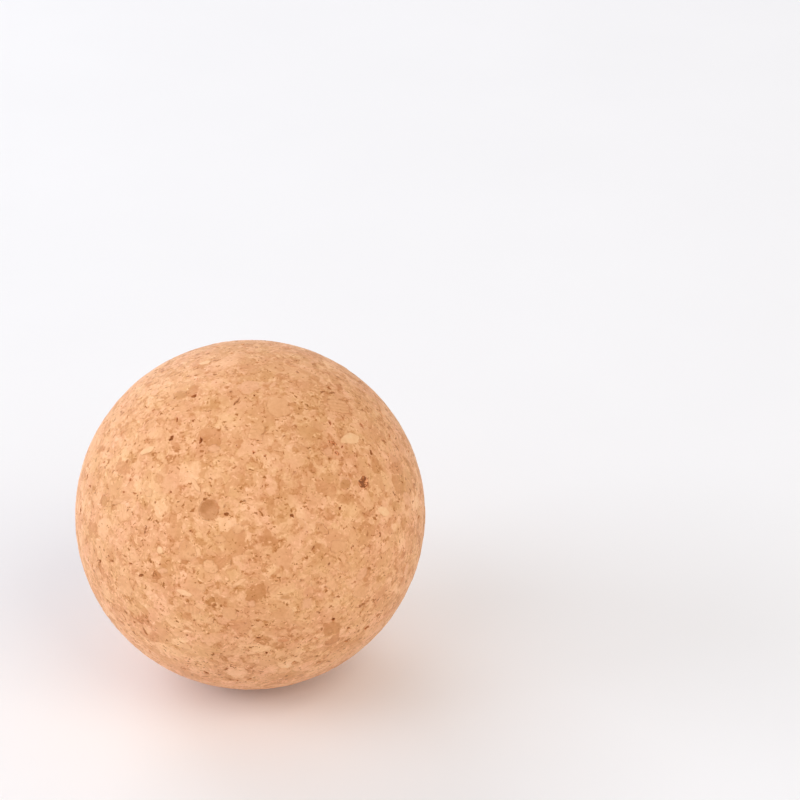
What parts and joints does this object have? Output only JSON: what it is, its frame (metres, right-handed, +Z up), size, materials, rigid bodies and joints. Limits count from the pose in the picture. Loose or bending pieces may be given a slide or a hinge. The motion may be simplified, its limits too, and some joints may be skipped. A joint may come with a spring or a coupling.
{
  "type": "massage ball",
  "caption": "Cork massage ball: a fine-grained bonded cork body with the coarse granules and bark specks of the agglomerate set flush in its surface",
  "frame": {"origin": "the centre of the ball", "axes": "+Z up, away from the surface the ball rests on; longitude 0, the side with the round knot and the large smooth granules, faces -Y"},
  "size_m": [0.05, 0.05, 0.05],
  "materials": {
    "fine_cork": "matt fine-grained agglomerated cork, lightly sanded",
    "light_tan_cork": "matt smooth cork",
    "honey_cork": "matt smooth cork",
    "pink_tan_cork": "matt smooth cork",
    "smooth_tan_cork": "matt smooth cork",
    "amber_brown_cork": "matt cork",
    "olive_brown_cork": "matt cork",
    "striated_cork": "matt cork with fine growth lines",
    "pale_cream_cork": "matt pale cork",
    "pale_sliver_cork": "matt pale cork",
    "red_brown_cork": "matt reddish cork",
    "red_bark": "slightly glossy red-brown bark",
    "knot_cork": "matt darker cork",
    "dark_bark": "matt dark bark"
  },
  "bodies": {
    "root": {"fine_cork_body": "fine_cork", "light_tan_granules": "light_tan_cork", "honey_granules": "honey_cork", "pink_tan_granules": "pink_tan_cork", "large_smooth_granules": "smooth_tan_cork", "amber_brown_granules": "amber_brown_cork", "olive_brown_granules": "olive_brown_cork", "striated_flakes": "striated_cork", "pale_cream_flakes": "pale_cream_cork", "pale_slivers": "pale_sliver_cork", "red_brown_slabs": "red_brown_cork", "red_bark_flecks": "red_bark", "round_knot_granule": "knot_cork", "dark_bark_specks": "dark_bark"}
  },
  "joints": []
}
